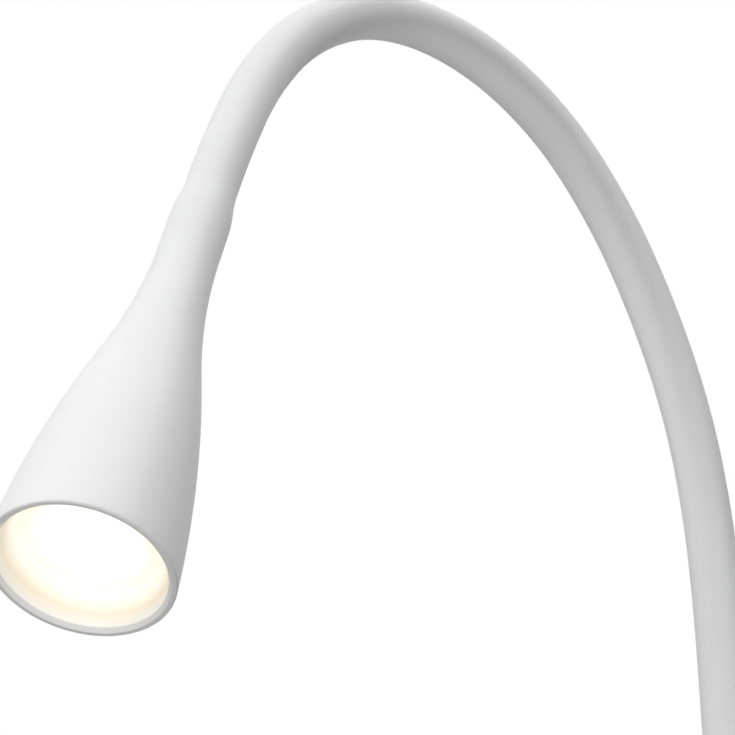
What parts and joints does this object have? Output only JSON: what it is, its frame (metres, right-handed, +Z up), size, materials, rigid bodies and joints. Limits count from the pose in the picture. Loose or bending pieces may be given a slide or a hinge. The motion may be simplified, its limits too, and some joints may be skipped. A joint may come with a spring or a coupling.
{
  "type": "floor lamp",
  "caption": "Floor reading lamp: weighted round base with a foot button, slim pole, bendable arched neck and a bell-shaped head with a recessed round light.",
  "frame": {"origin": "centre of the base's underside, on the floor", "axes": "+Z up along the pole; the neck arches in the XZ plane towards -X; the cord inlet faces +X"},
  "size_m": [0.3872, 0.23, 1.2977],
  "materials": {
    "sleeve_white": "satin",
    "spine_steel": "satin",
    "pad_grey": "matte",
    "weight_iron": "matte",
    "base_white": "satin",
    "gland_grey": "matte",
    "black_plastic": "matte",
    "collar_white": "satin",
    "button_white": "satin",
    "zinc_steel": "satin",
    "pole_white": "satin",
    "lead_white": "satin",
    "head_white": "satin",
    "sink_aluminium": "satin",
    "board_white": "gloss",
    "emitter_yellow": "gloss",
    "reflector_white": "gloss",
    "diffuser_opal": "satin",
    "ring_white": "gloss"
  },
  "bodies": {
    "stand": {"base_pad": "pad_grey", "base_weight": "weight_iron", "base_cover": "base_white", "cord_gland": "gland_grey", "led_driver": "black_plastic", "switch_body": "black_plastic", "switch_collar": "collar_white", "base_stud": "zinc_steel", "stud_nut": "zinc_steel", "stud_washer": "zinc_steel", "pole_lower": "pole_white", "pole_upper": "pole_white", "pole_insert": "zinc_steel", "pole_joiner": "zinc_steel", "neck_ferrule": "zinc_steel", "pole_lead": "lead_white", "neck_sleeve_01": "sleeve_white", "neck_spine_01": "spine_steel"},
    "neck_link_02": {"neck_sleeve_02": "sleeve_white", "neck_spine_02": "spine_steel"},
    "neck_link_03": {"neck_sleeve_03": "sleeve_white", "neck_spine_03": "spine_steel"},
    "neck_link_04": {"neck_sleeve_04": "sleeve_white", "neck_spine_04": "spine_steel"},
    "neck_link_05": {"neck_sleeve_05": "sleeve_white", "neck_spine_05": "spine_steel"},
    "neck_link_06": {"neck_sleeve_06": "sleeve_white", "neck_spine_06": "spine_steel"},
    "neck_link_07": {"neck_sleeve_07": "sleeve_white", "neck_spine_07": "spine_steel"},
    "neck_link_08": {"neck_sleeve_08": "sleeve_white", "neck_spine_08": "spine_steel"},
    "neck_link_09": {"neck_sleeve_09": "sleeve_white", "neck_spine_09": "spine_steel"},
    "neck_link_10": {"neck_sleeve_10": "sleeve_white", "neck_spine_10": "spine_steel"},
    "neck_link_11": {"neck_sleeve_11": "sleeve_white", "neck_spine_11": "spine_steel"},
    "neck_link_12": {"neck_sleeve_12": "sleeve_white", "neck_spine_12": "spine_steel"},
    "head": {"neck_sleeve_13": "sleeve_white", "neck_spine_13": "spine_steel", "head_shell": "head_white", "head_ferrule": "zinc_steel", "grub_screw": "zinc_steel", "heat_sink": "sink_aluminium", "head_lead": "lead_white", "led_board": "board_white", "led_emitter": "emitter_yellow", "board_screws": "zinc_steel", "reflector": "reflector_white", "diffuser": "diffuser_opal", "front_ring": "ring_white"},
    "switch_button": {"switch_button": "button_white"}
  },
  "joints": [
    {"name": "neck_bend_01", "type": "hinge", "parent": "stand", "child": "neck_link_02", "pos_m": [0, 0, 1.049], "axis": [0.0009, -1, 0], "range_deg": [-28, 8]},
    {"name": "neck_sway_02", "type": "hinge", "parent": "neck_link_02", "child": "neck_link_03", "pos_m": [0, 0, 1.087], "axis": [1, 0.0009, 0], "range_deg": [-24, 24]},
    {"name": "neck_bend_03", "type": "hinge", "parent": "neck_link_03", "child": "neck_link_04", "pos_m": [-0.00083, 0, 1.12499], "axis": [0.0009, -1, 0], "range_deg": [-28, 8]},
    {"name": "neck_sway_04", "type": "hinge", "parent": "neck_link_04", "child": "neck_link_05", "pos_m": [-0.00463, 0, 1.16278], "axis": [0.9877, 0.0009, 0.1564], "range_deg": [-24, 24]},
    {"name": "neck_bend_05", "type": "hinge", "parent": "neck_link_05", "child": "neck_link_06", "pos_m": [-0.01397, 0, 1.19956], "axis": [0.0009, -1, 0], "range_deg": [-28, 8]},
    {"name": "neck_sway_06", "type": "hinge", "parent": "neck_link_06", "child": "neck_link_07", "pos_m": [-0.02941, 0, 1.23423], "axis": [0.8788, 0.0008, 0.4772], "range_deg": [-24, 24]},
    {"name": "neck_bend_07", "type": "hinge", "parent": "neck_link_07", "child": "neck_link_08", "pos_m": [-0.05169, 0, 1.26489], "axis": [0.0009, -1, 0], "range_deg": [-28, 8]},
    {"name": "neck_bend_08", "type": "hinge", "parent": "neck_link_08", "child": "neck_link_09", "pos_m": [-0.08326, 0, 1.2854], "axis": [0.0009, -1, 0], "range_deg": [-28, 8]},
    {"name": "neck_bend_09", "type": "hinge", "parent": "neck_link_09", "child": "neck_link_10", "pos_m": [-0.12072, 0, 1.28867], "axis": [0.0009, -1, 0], "range_deg": [-28, 8]},
    {"name": "neck_bend_10", "type": "hinge", "parent": "neck_link_10", "child": "neck_link_11", "pos_m": [-0.15498, 0, 1.27324], "axis": [0.0009, -1, 0], "range_deg": [-28, 8]},
    {"name": "neck_sway_11", "type": "hinge", "parent": "neck_link_11", "child": "neck_link_12", "pos_m": [-0.17978, 0, 1.2447], "axis": [-0.8572, -0.0007, 0.515], "range_deg": [-24, 24]},
    {"name": "neck_bend_12", "type": "hinge", "parent": "neck_link_12", "child": "head", "pos_m": [-0.19566, 0, 1.21026], "axis": [0.0009, -1, 0], "range_deg": [-28, 8]},
    {"name": "switch_press", "type": "slide", "parent": "stand", "child": "switch_button", "axis": [0, 0, -1], "range_m": [0, 0.002], "stiffness_N_per_m": 1500, "springref_m": -0.002}
  ]
}
